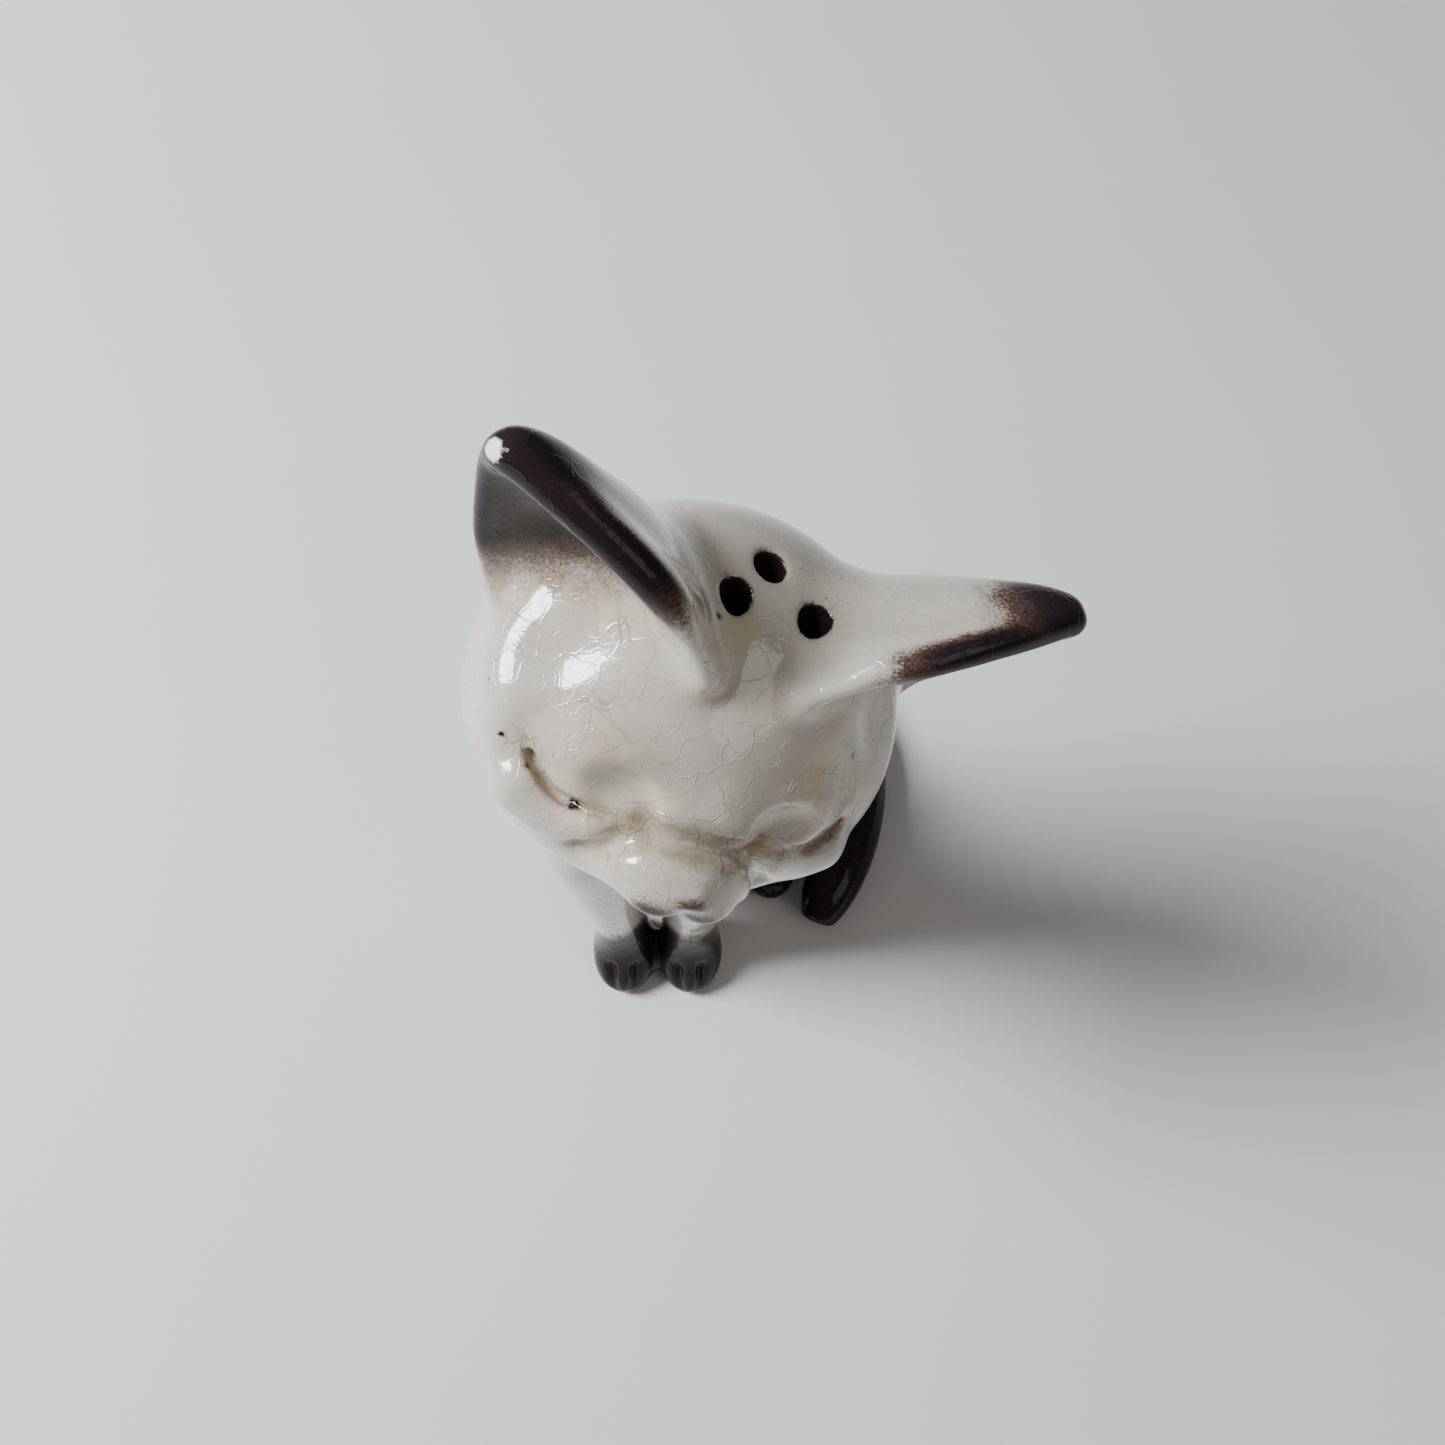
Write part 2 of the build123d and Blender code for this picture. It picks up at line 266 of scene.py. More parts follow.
class Clay:
    """A distance field on a grid over the whole cat, in millimetres: below zero inside."""

    def __init__(self, low, high):
        self.first = np.floor(np.asarray(low) / VOXEL).astype(int)
        self.count = np.ceil(np.asarray(high) / VOXEL).astype(int) - self.first + 1
        self.values = np.full(self.count, FAR, np.float32)

    def window(self, low, high):
        """The part of the grid in a box: its slices and its X, Y and Z."""
        start = np.clip(np.floor(np.asarray(low) / VOXEL).astype(int) - self.first, 0, self.count - 2)
        stop = np.clip(np.ceil(np.asarray(high) / VOXEL).astype(int) - self.first + 1, start + 2, self.count)
        slices = tuple(slice(a, b) for a, b in zip(start, stop))
        axes = [(np.arange(a, b) + f) * np.float32(VOXEL) for a, b, f in zip(start, stop, self.first)]
        x, y, z = np.meshgrid(*[axis.astype(np.float32) for axis in axes], indexing="ij", sparse=True)
        return slices, x, y, z

    def head_window(self, points, margin):
        """The grid round some head-frame points: its slices and its X, Y and Z in the head frame."""
        spots = to_row(points)
        slices, x, y, z = self.window(spots.min(0) - margin, spots.max(0) + margin)
        x, y, z = x - SKULL[0], y - SKULL[1], z - SKULL[2]
        turned = [x * HEAD_TURN[0, i] + y * HEAD_TURN[1, i] + z * HEAD_TURN[2, i] for i in range(3)]
        return slices, *[q.astype(np.float32) for q in turned]

    def sample(self, points, values=None):
        """The field at row-frame points, between grid points."""
        field = self.values if values is None else values
        spot = np.asarray(points) / VOXEL - self.first
        spot = np.clip(spot, 0, self.count - 1.001)
        base = spot.astype(int)
        part = spot - base
        total = 0
        for i in (0, 1):
            for j in (0, 1):
                for k in (0, 1):
                    weight = np.ones(len(spot))
                    for axis, corner in enumerate((i, j, k)):
                        weight = weight * (part[:, axis] if corner else 1 - part[:, axis])
                    total = total + weight * field[base[:, 0] + i, base[:, 1] + j, base[:, 2] + k]
        return total

    def gradient(self, points):
        """The field's slope at row-frame points, which points outwards."""
        points = np.asarray(points)
        step = VOXEL * 0.75
        parts = []
        for axis in range(3):
            move = np.zeros(3)
            move[axis] = step
            parts.append((self.sample(points + move) - self.sample(points - move)) / (2 * step))
        return np.stack(parts, 1)

    def settle(self, points, rounds=3):
        """Row-frame points moved onto the surface."""
        points = np.asarray(points, float)
        for _ in range(rounds):
            slope = self.gradient(points)
            length = np.maximum((slope * slope).sum(1), 0.05)
            points = points - slope * (self.sample(points) / length)[:, None]
        return points

    def soften(self, rounds, slices=np.s_[:, :, :]):
        """Rounds of light blur, which round edges by about a voxel each."""
        part = self.values[slices]
        for _ in range(rounds):
            for axis in range(3):
                padded = np.concatenate(
                    (part.take([0], axis), part, part.take([-1], axis)), axis
                )
                size = part.shape[axis]
                before = padded.take(range(0, size), axis)
                after = padded.take(range(2, size + 2), axis)
                part = (before + 2 * part + after) / 4
        self.values[slices] = part


def node_triangles(node):
    """A CAD node's corners in millimetres and its triangles."""
    mesh = node.data
    mesh.calc_loop_triangles()
    points = np.empty(len(mesh.vertices) * 3, np.float32)
    mesh.vertices.foreach_get("co", points)
    corners = np.empty(len(mesh.loop_triangles) * 3, np.int32)
    mesh.loop_triangles.foreach_get("vertices", corners)
    return points.reshape(-1, 3) / MM, corners.reshape(-1, 3)


def node_field(clay, node):
    """The distance to a CAD node's surface on the cat's grid."""
    points, triangles = node_triangles(node)
    grid = vdb.FloatGrid.createLevelSetFromPolygons(
        points.astype(np.float32),
        triangles=triangles.astype(np.uint32),
        transform=vdb.createLinearTransform(voxelSize=VOXEL),
        halfWidth=BAND,
    )
    values = np.full(clay.count, FAR, np.float32)
    grid.copyToArray(values, ijk=tuple(int(i) for i in clay.first))
    return values


# Sculpting


def sunk_line(clay, points, depth):
    """Head-frame points settled on the surface and sunk by depth, in the row frame."""
    line = clay.settle(to_row(points))
    slope = clay.gradient(line)
    return line - slope / np.linalg.norm(slope, axis=1)[:, None] * depth


def carve_line(clay, points, radius, blend, depth=0.0):
    """A groove of the given radius along a head-frame line that is settled on the surface and then sunk."""
    groove = to_head(sunk_line(clay, curve_through(points), depth))
    slices, x, y, z = clay.head_window(groove, radius + blend + 1)
    cut = chain(x, y, z, groove) - radius
    clay.values[slices] = smooth_max(clay.values[slices], -cut, blend)


def head_ridge(clay, line, radii, blend):
    """Adds a ridge along a head-frame line, with a radius for each point."""
    slices, x, y, z = clay.head_window(line, 4)
    clay.values[slices] = smooth_min(clay.values[slices], chain(x, y, z, line, radii), blend)


def head_blob(clay, place, radii, blend, remove=False):
    """Adds or takes away an ellipsoid in the head frame."""
    reach = max(radii) + blend + 1
    slices, x, y, z = clay.head_window([place], reach)
    shape = ellipsoid(x, y, z, place, radii)
    part = clay.values[slices]
    clay.values[slices] = smooth_max(part, -shape, blend) if remove else smooth_min(part, shape, blend)


def lifted(clay, place, lift):
    """A head-frame place settled on the surface and raised by lift."""
    spot = clay.settle(to_row([place]))
    slope = clay.gradient(spot)
    return to_head(spot + slope / np.linalg.norm(slope) * lift)[0]


def melt(clay, place, radius, rounds):
    """Blurs the field away round a head-frame place, most in the middle."""
    slices, x, y, z = clay.head_window([place], radius + 1)
    before = clay.values[slices].copy()
    clay.soften(rounds, slices)
    gap = np.sqrt((x - place[0]) ** 2 + (y - place[1]) ** 2 + (z - place[2]) ** 2)
    share = smooth_step(radius, radius * 0.55, gap)
    clay.values[slices] = before + (clay.values[slices] - before) * share


def row_blob(clay, place, radii, blend):
    """Adds an ellipsoid in the row frame."""
    reach = max(radii) + blend + 1
    slices, x, y, z = clay.window(np.array(place) - reach, np.array(place) + reach)
    clay.values[slices] = smooth_min(clay.values[slices], ellipsoid(x, y, z, place, radii), blend)


def row_groove(clay, points, radius, blend):
    """A groove along a row-frame line."""
    points = np.asarray(points, float)
    slices, x, y, z = clay.window(points.min(0) - radius - blend - 1, points.max(0) + radius + blend + 1)
    cut = chain(x, y, z, points) - radius
    clay.values[slices] = smooth_max(clay.values[slices], -cut, blend)


def join_parts(clay, fields):
    """Runs the CAD solids together, each pair over its own width."""
    head = fields["head_shell"]
    slices, x, y, z = clay.head_window([(0, 0, 0)], HEAD_REACH)
    for place, radii in HEAD_FILLING:
        head[slices] = np.minimum(head[slices], ellipsoid(x, y, z, place, radii))
    for ear in ("left_ear", "right_ear"):
        head = smooth_min(head, fields[ear] - EAR_GROWTH, EAR_BLEND)
    body = fields["body_shell"]
    for limb in ("left_foreleg", "right_foreleg", "left_hind_paw", "right_hind_paw", "tail"):
        body = smooth_min(body, fields[limb], LIMB_BLEND)
    clay.values = smooth_min(head, body, NECK_BLEND).astype(np.float32)


def ear_axes():
    """The left ear's up, across towards the cheek, and forward out of its hollow, in the head frame."""
    up = EAR_TIP - EAR_ROOT
    up = up / np.linalg.norm(up)
    across = EAR_SIDE / np.linalg.norm(EAR_SIDE)
    forward = np.cross(across, up)
    cosine, sine = math.cos(math.radians(EAR_TURN)), math.sin(math.radians(EAR_TURN))
    return up, across * cosine - forward * sine, forward * cosine + across * sine


def ear_roll():
    """The middle line and the radii of the left ear's rolled edge."""
    up, across, forward = ear_axes()
    heights, widths = np.array(EAR_WIDTHS).T
    points = []
    for (height, share, radius), sink in zip(EAR_ROLL, EAR_ROLL_SINK):
        half_width = np.interp(height, heights, widths)
        points.append(EAR_ROOT + up * height + across * share * half_width + forward * (radius * 0.25 - sink))
    line = curve_through(points, 4)
    places = np.linspace(0, len(points) - 1, len(line))
    return line, np.interp(places, np.arange(len(points)), [row[2] for row in EAR_ROLL])


def sculpt_ears(clay):
    """The dish at each ear's foot and the rolled edge that runs down to the forehead."""
    line, radii = ear_roll()
    for side in (1, -1):
        dish = on_side([EAR_DISH_PLACE], side)[0]
        head_blob(clay, dish, EAR_DISH_RADII, EAR_DISH_BLEND, remove=True)
        head_ridge(clay, on_side(line, side), radii, EAR_ROLL_BLEND)


def melt_face(clay):
    """Blurs away the CAD model's plain muzzle and cheeks."""
    melt(clay, MUZZLE_MELT_PLACE, MUZZLE_MELT_RADIUS, MUZZLE_MELT_ROUNDS)
    for side in (1, -1):
        melt(clay, on_side([EYE_MELT_PLACE], side)[0], EYE_MELT_RADIUS, EYE_MELT_ROUNDS)


def sculpt_eyes_and_cheeks(clay):
    """Hollows over closed eyes, and the cheeks' ridges below. All are placed before any is worked in."""
    ridges = [curve_through(on_side(CHEEK_RIDGE, side), 4) for side in (1, -1)]
    ridges = [to_head(sunk_line(clay, ridge, CHEEK_RIDGE_SINK)) for ridge in ridges]
    places = np.linspace(0, len(CHEEK_RIDGE) - 1, len(ridges[0]))
    radii = np.interp(places, np.arange(len(CHEEK_RIDGE)), CHEEK_RIDGE_RADII)
    hollows = [lifted(clay, on_side([LID_HOLLOW_PLACE], side)[0], LID_HOLLOW_LIFT) for side in (1, -1)]
    for hollow in hollows:
        head_blob(clay, hollow, LID_HOLLOW_RADII, 1.0, remove=True)
    for ridge in ridges:
        head_ridge(clay, ridge, radii, CHEEK_RIDGE_BLEND)


def sculpt_muzzle(clay):
    """A round muzzle with its two lips and its nose."""
    head_blob(clay, MUZZLE_PLACE, MUZZLE_RADII, 1.0)
    for side in (1, -1):
        head_blob(clay, on_side([LIP_PLACE], side)[0], LIP_RADII, 0.8)
    head_blob(clay, NOSE_PLACE, NOSE_RADII, 0.8)


def carve_face(clay):
    """The lines of the face."""
    for side, stop_depth in ((1, NOSE_STOP_LEFT_DEPTH), (-1, NOSE_STOP_RIGHT_DEPTH)):
        carve_line(clay, on_side(CHEEK_VALLEY, side), 0.8, 1.0, depth=0.35)
        carve_line(clay, on_side(NOSE_STOP, side), 0.9, 0.9, depth=stop_depth)
        carve_line(clay, on_side(LID_CREASE, side), 0.5, 0.4, depth=0.6)
        carve_line(clay, on_side(MOUTH, side), 0.3, 0.5, depth=0.0)
    carve_line(clay, NOSE_CLEFT, 0.35, 0.6, depth=0.05)


def sculpt_face(clay):
    """Closed lids over full cheeks, a round muzzle with its nose and lips, and the crease above it."""
    melt_face(clay)
    sculpt_eyes_and_cheeks(clay)
    sculpt_muzzle(clay)
    carve_face(clay)
    melt(clay, FACE_SOFTEN_PLACE, FACE_SOFTEN_RADIUS, FACE_SOFTEN_ROUNDS)


def sculpt_body(clay):
    """Thighs, toes and the rounded start of the tail."""
    row_blob(clay, TAIL_ROOT_PLACE, TAIL_ROOT_RADII, TAIL_ROOT_BLEND)
    for side in (1, -1):
        x, y, z = THIGH_PLACE
        row_blob(clay, (HAUNCH_MIDDLE + side * x, y, z), THIGH_RADII, 0.8)
        for toe in (-TOE_OFFSET, TOE_OFFSET):
            foot = BODY_MIDDLE + side * FOREPAW[0] + toe
            row_groove(clay, ((foot, FOREPAW[1] - 6, 1.4), (foot, FOREPAW[1] - 2.6, 5.2)), 0.45, 0.7)
            foot = HAUNCH_MIDDLE + side * HIND_PAW[0] + toe
            row_groove(clay, ((foot, HIND_PAW[1] - 7, 1.2), (foot, HIND_PAW[1] - 4.2, 5.2)), 0.4, 0.7)


def cut_floor(clay):
    """Nothing reaches below the table."""
    slices, x, y, z = clay.window((-60, -60, -3), (60, 60, 2))
    clay.values[slices] = np.maximum(clay.values[slices], -z)


def open_hollows(clay):
    """The pour holes, the hollow that they lead to and its way down to the body."""
    head_blob(clay, *HEAD_HOLLOW, 0.5, remove=True)
    row_groove(clay, PASSAGE, PASSAGE_RADIUS, 0.5)
    for x, y in POUR_HOLES:
        drill = np.array(((x, y, 5.0), (x, y, 19.0)))
        slices, u, v, w = clay.head_window(drill, POUR_HOLE_RADIUS + 1.5)
        clay.values[slices] = smooth_max(clay.values[slices], POUR_HOLE_RADIUS - chain(u, v, w, drill), 0.3)


def surface_of(clay):
    """The field's surface as points and four-cornered faces."""
    grid = vdb.FloatGrid(FAR)
    grid.copyFromArray(np.ascontiguousarray(clay.values), ijk=tuple(int(i) for i in clay.first))
    grid.transform = vdb.createLinearTransform(voxelSize=VOXEL)
    points, quads = grid.convertToQuads(isovalue=0.0)
    points = clay.settle(np.array(points, float), rounds=2)
    return points, np.array(quads)


# What the glaze needs to know at each point


def ear_facts(head_points, head_normals, side):
    """Height up an ear, share of its half width across, and how squarely each point faces forwards."""
    up, across, forward = ear_axes()
    mirror = np.array((side, 1, 1))
    spot = head_points * mirror - EAR_ROOT
    height = spot @ up
    heights, widths = np.array(EAR_WIDTHS).T
    share = (spot @ across) / np.interp(height, heights, widths)
    return height, share, (head_normals * mirror) @ forward


def ear_darkness(head_points, head_normals):
    """Airbrushed brown inside the ears, along the rolled edge and round the tips."""
    dark = np.zeros(len(head_points))
    for side in (1, -1):
        height, share, facing = ear_facts(head_points, head_normals, side)
        here = smooth_step(0, 5, head_points[:, 0] * side) * smooth_step(-5.5, -1.0, height)
        inside = smooth_step(-0.25, 0.25, facing) * smooth_step(-1.6, -1.1, share)
        front = inside * smooth_step(-0.5, 8.5, height)
        line, radii = ear_roll()
        gap = chain(*head_points.T, on_side(line, side), radii)
        band = smooth_step(2.4, 0.4, gap) * smooth_step(0.5, 9.0, height) * smooth_step(-0.8, -0.2, facing)
        tip = smooth_step(9.0, 16.5, height) * 0.95
        dark = np.maximum(dark, here * np.maximum(np.maximum(front, band), tip))
    return dark


def face_darkness(head_points):
    """Brown on the nose and along the mouth."""
    x, y, z = head_points.T
    nose = np.exp(-((x / 1.7) ** 2 + ((z + 3.8) / 0.8) ** 2)) * smooth_step(-18.2, -19.2, y)
    mouth = np.exp(-(((z + 6.2) / 1.5) ** 2)) * smooth_step(-16.8, -18.6, y)
    mouth = mouth * smooth_step(5.2, 3.0, np.abs(x))
    return np.maximum(0.75 * nose, 0.85 * mouth)


def spots(clay, head_points, places, soften):
    """1 within a radius of each place on the surface, and 0 from soften further out."""
    share = np.zeros(len(head_points))
    for place, radius in places:
        gap = np.linalg.norm(head_points - lifted(clay, place, 0), axis=1)
        share = np.maximum(share, smooth_step(radius + soften, radius, gap))
    return share


def body_darkness(points, nearest):
    """Dark paws."""
    z = points[:, 2]
    legs = smooth_step(PAW_FADE, PAW_DARK, z + 0.5 * np.sin(points[:, 0] * 1.1))
    limb = np.isin(nearest, [CERAMIC_NODES.index("left_foreleg"), CERAMIC_NODES.index("right_foreleg")])
    in_front = smooth_step(-10.5, -12.5, points[:, 1])
    dark = legs * np.where(limb, 1.0, in_front)
    for side in (1, -1):
        spot = points - np.array((HAUNCH_MIDDLE + side * HIND_PAW[0], HIND_PAW[1], HIND_PAW_DARK_HEIGHT))
        reach = np.sqrt(((spot / HIND_PAW_DARK_RADII) ** 2).sum(1))
        dark = np.maximum(dark, smooth_step(1.35, 0.95, reach))
    return dark


def tail_darkness(clay, points, fields):
    """The tail is dark, and fades into the back where it starts."""
    root = ellipsoid(*points.T, TAIL_ROOT_PLACE, TAIL_ROOT_RADII)
    gap = np.minimum(clay.sample(points, fields["tail"]), root)
    return smooth_step(1.6, 0.2, gap)


def pour_hole_facts(head_points, head_normals):
    """Painted shade on the pour holes' walls, and the tan stain round them."""
    dark = np.zeros(len(head_points))
    stain = np.zeros(len(head_points))
    crown = smooth_step(8, 11, head_points[:, 2])
    steep = smooth_step(0.8, 0.35, np.abs(head_normals[:, 2]))
    for x, y in POUR_HOLES:
        gap = np.hypot(head_points[:, 0] - x, head_points[:, 1] - y) - POUR_HOLE_RADIUS
        # the dark on the holes' walls is painted shade
        dark = np.maximum(dark, 0.95 * smooth_step(0.5, 0.2, np.abs(gap)) * steep * crown)
        stain = np.maximum(stain, 0.6 * np.exp(-np.clip(gap, 0, 9) / 0.35) * crown)
    return dark, stain


def face_stain_and_shade(clay, head_points, head_normals):
    """Tan at the ears' feet; in the lids' creases and corners and above the muzzle, tan that is partly a
    stain and partly painted shade.
    """
    stain = np.zeros(len(head_points))
    # the tan above the muzzle is stronger on the cat's left, the side in shade: painted shade
    for side, stop_shade_strength in ((1, 1.0), (-1, 0.7)):
        height, _, facing = ear_facts(head_points, head_normals, side)
        foot = np.exp(-(((height - 3.0) / 4.5) ** 2)) * smooth_step(0.0, 0.5, facing)
        foot = foot * smooth_step(7, 11, head_points[:, 0] * side) * smooth_step(2, 5, head_points[:, 2])
        lids = chain(*head_points.T, curve_through(on_side(LID_CREASE, side), 3))
        corner = np.linalg.norm(head_points - lifted(clay, on_side([LID_CORNER], side)[0], 0), axis=1)
        stop = chain(*head_points.T, curve_through(on_side(NOSE_STOP, side), 3))
        # tan along the lids' creases, at their inner corners and above the muzzle: partly painted shade
        for strength, gap, width in ((0.85, lids, 0.55), (0.85, corner, 1.4), (stop_shade_strength, stop, 1.1)):
            stain = np.maximum(stain, strength * np.exp(-((gap / width) ** 2)))
        stain = np.maximum(stain, 0.55 * foot)
    return stain


def hollow_stain_and_shade(clay, points, normals):
    """How deep in a hollow each point lies: other surfaces come near it in front. The glaze turns tan by it,
    partly as a stain and partly as painted shade.
    """
    share = 0
    for reach, gain in ((0.5, 3.0), (1.2, 2.0)):
        around = clay.sample(points + normals * reach) - reach
        share = share + 0.5 * np.clip(-around * gain, 0, 1)
    return share


def glaze_facts(clay, points, normals, fields):
    """Shares from 0 to 1 at each point for the glaze, and the index of the CAD node nearest to it."""
    head_points = to_head(points)
    head_normals = normals @ HEAD_TURN
    gaps = np.stack([clay.sample(points, fields[name]) for name in CERAMIC_NODES], 1)
    nearest = gaps.argmin(1)
    on_head = np.maximum(ear_darkness(head_points, head_normals), face_darkness(head_points))
    below = np.maximum(body_darkness(points, nearest), tail_darkness(clay, points, fields))
    hole_painted_shade, hole_stain = pour_hole_facts(head_points, head_normals)
    facts = {
        # dark: airbrushed brown, and painted shade on the pour holes' walls
        "dark": np.maximum(np.where(points[:, 2] > NECK_HEIGHT, on_head, below), hole_painted_shade),
        # hollow: tan by depth in a hollow, partly a stain and partly painted shade
        "hollow": hollow_stain_and_shade(clay, points, normals),
        # stain: tan stains, with partly painted shade in the face's creases
        "stain": np.maximum(hole_stain, face_stain_and_shade(clay, head_points, head_normals)),
        "bare": smooth_step(FOOT_RING_HEIGHT, 0.0, points[:, 2]) * smooth_step(-0.5, -0.9, normals[:, 2]),
        "yellow": spots(clay, head_points, YELLOW_STAINS, 0.8),
        "paint": spots(clay, head_points, (EYE_PAINT, *PAINT_SPECKS), 0.08),
        # a chip, painted near white partly as a glint
        "chip_and_glint": spots(clay, head_points, ((CHIP_AND_GLINT_PLACE, CHIP_AND_GLINT_RADIUS),), 0.15),
    }
    return facts, nearest


# Pieces


def piece_from(name, points, faces, normals, facts):
    """A smooth mesh object with its shading normals and its glaze facts."""
    used, flat = np.unique(faces, return_inverse=True)
    mesh = bpy.data.meshes.new(name)
    faces = flat.reshape(faces.shape)
    mesh.vertices.add(len(used))
    mesh.vertices.foreach_set("co", (points[used] * MM).astype(np.float32).ravel())
    mesh.loops.add(faces.size)
    mesh.loops.foreach_set("vertex_index", faces.astype(np.int32).ravel())
    mesh.polygons.add(len(faces))
    mesh.polygons.foreach_set("loop_start", np.arange(0, faces.size, faces.shape[1], dtype=np.int32))
    mesh.update(calc_edges=True)
    mesh.validate()
    mesh.polygons.foreach_set("use_smooth", np.ones(len(mesh.polygons), bool))
    for fact, values in facts.items():
        layer = mesh.attributes.new(fact, "FLOAT", "POINT")
        layer.data.foreach_set("value", values[used].astype(np.float32))
    mesh.normals_split_custom_set_from_vertices(normals[used].tolist())
    piece = bpy.data.objects.new(name, mesh)
    bpy.context.scene.collection.objects.link(piece)
    return piece


def make_ceramic(frame, material):
    """The whole cat's surface, cut into one piece for each ceramic CAD node."""
    corners = [corner for name in CERAMIC_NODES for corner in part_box(name)]
    corners = np.array(corners) / MM
    clay = Clay(corners.min(0) - FIELD_MARGIN, corners.max(0) + FIELD_MARGIN)
    fields = {name: node_field(clay, frame["nodes"][name]) for name in CERAMIC_NODES}
    join_parts(clay, fields)
    clay.soften(1)
    sculpt_ears(clay)
    sculpt_face(clay)
    sculpt_body(clay)
    clay.soften(1)
    cut_floor(clay)
    open_hollows(clay)
    points, faces = surface_of(clay)
    points[:, 2] = np.maximum(points[:, 2], 0)
    normals = clay.gradient(points)
    normals = normals / np.maximum(np.linalg.norm(normals, axis=1), 1e-6)[:, None]
    facts, nearest = glaze_facts(clay, points, normals, fields)
    owner = np.sort(nearest[faces], axis=1)[:, 1]
    for index, name in enumerate(CERAMIC_NODES):
        mine = faces[owner == index]
        piece = piece_from(name + "_glazed", points, mine, normals, facts)
        piece.data.materials.append(material)
        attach(piece, "cat")
        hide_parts(name)
        print(name, "faces", len(mine))


def cork_profile(wide, narrow, length):
    """Radius and height of each ring, from the middle of the wide end to the middle of the narrow one."""
    edge = CORK_EDGE
    profile = [(share * (wide - edge), 0.0) for share in (0.0, 0.2, 0.4, 0.6, 0.8, 0.92, 1.0)]
    profile += [(wide - edge * (1 - math.sin(a)), edge * (1 - math.cos(a))) for a in (0.4, 0.8, 1.2, 1.57)]
    for i in range(1, CORK_RINGS):
        share = i / CORK_RINGS
        profile.append((wide + (narrow - wide) * share, edge + (length - 2 * edge) * share))
    for a in (0.0, 0.4, 0.8, 1.2, 1.57):
        profile.append((narrow - edge * (1 - math.cos(a)), length - edge * (1 - math.sin(a))))
    profile += [(share * (narrow - edge), length) for share in (0.9, 0.75, 0.55, 0.3, 0.0)]
    return profile


def turned_mesh(profile):
    """A profile turned about Z."""
    points = []
    for radius, height in profile:
        for i in range(CORK_AROUND):
            turn = 2 * math.pi * i / CORK_AROUND
            points.append((radius * math.cos(turn), radius * math.sin(turn), height))
    faces = []
    for ring in range(len(profile) - 1):
        for i in range(CORK_AROUND):
            a = ring * CORK_AROUND + i
            b = ring * CORK_AROUND + (i + 1) % CORK_AROUND
            faces.append((a, b, b + CORK_AROUND, a + CORK_AROUND))
    mesh = bpy.data.meshes.new("cork")
    mesh.from_pydata(points, [], faces)
    mesh.update()
    return mesh


def pit_cork(mesh, length):
    """Sinks small pits into the cork's surface."""
    for vertex in mesh.vertices:
        spot = vertex.co * 900
        pit = max(0.0, noise.noise(spot) - 0.32) + 0.6 * max(0.0, noise.noise(spot * 2.6) - 0.35)
        inwards = Vector((-vertex.co.x, -vertex.co.y, 0))
        if inwards.length > 1e-6:
            inwards.normalize()
        inwards.z = (length / 2 - vertex.co.z) / length * 0.6
        vertex.co += inwards * pit * CORK_PIT_DEPTH


def make_cork(material):
    """The tapered stopper: a turned form with rubbed edges and pits."""
    low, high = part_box("cork_stopper")
    centre = (low + high) / 2
    wide = (high.x - low.x) / 2 - CORK_CLEARANCE
    length = high.z - low.z
    mesh = turned_mesh(cork_profile(wide, wide - CORK_TAPER, length))
    pit_cork(mesh, length)
    mesh.transform(Matrix.Translation((centre.x, centre.y, low.z)))
    mesh.polygons.foreach_set("use_smooth", np.ones(len(mesh.polygons), bool))
    cork = bpy.data.objects.new("cork_stopper_turned", mesh)
    bpy.context.scene.collection.objects.link(cork)
    cork.data.materials.append(material)
    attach(cork, "stopper")
    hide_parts("cork_stopper")


# Materials


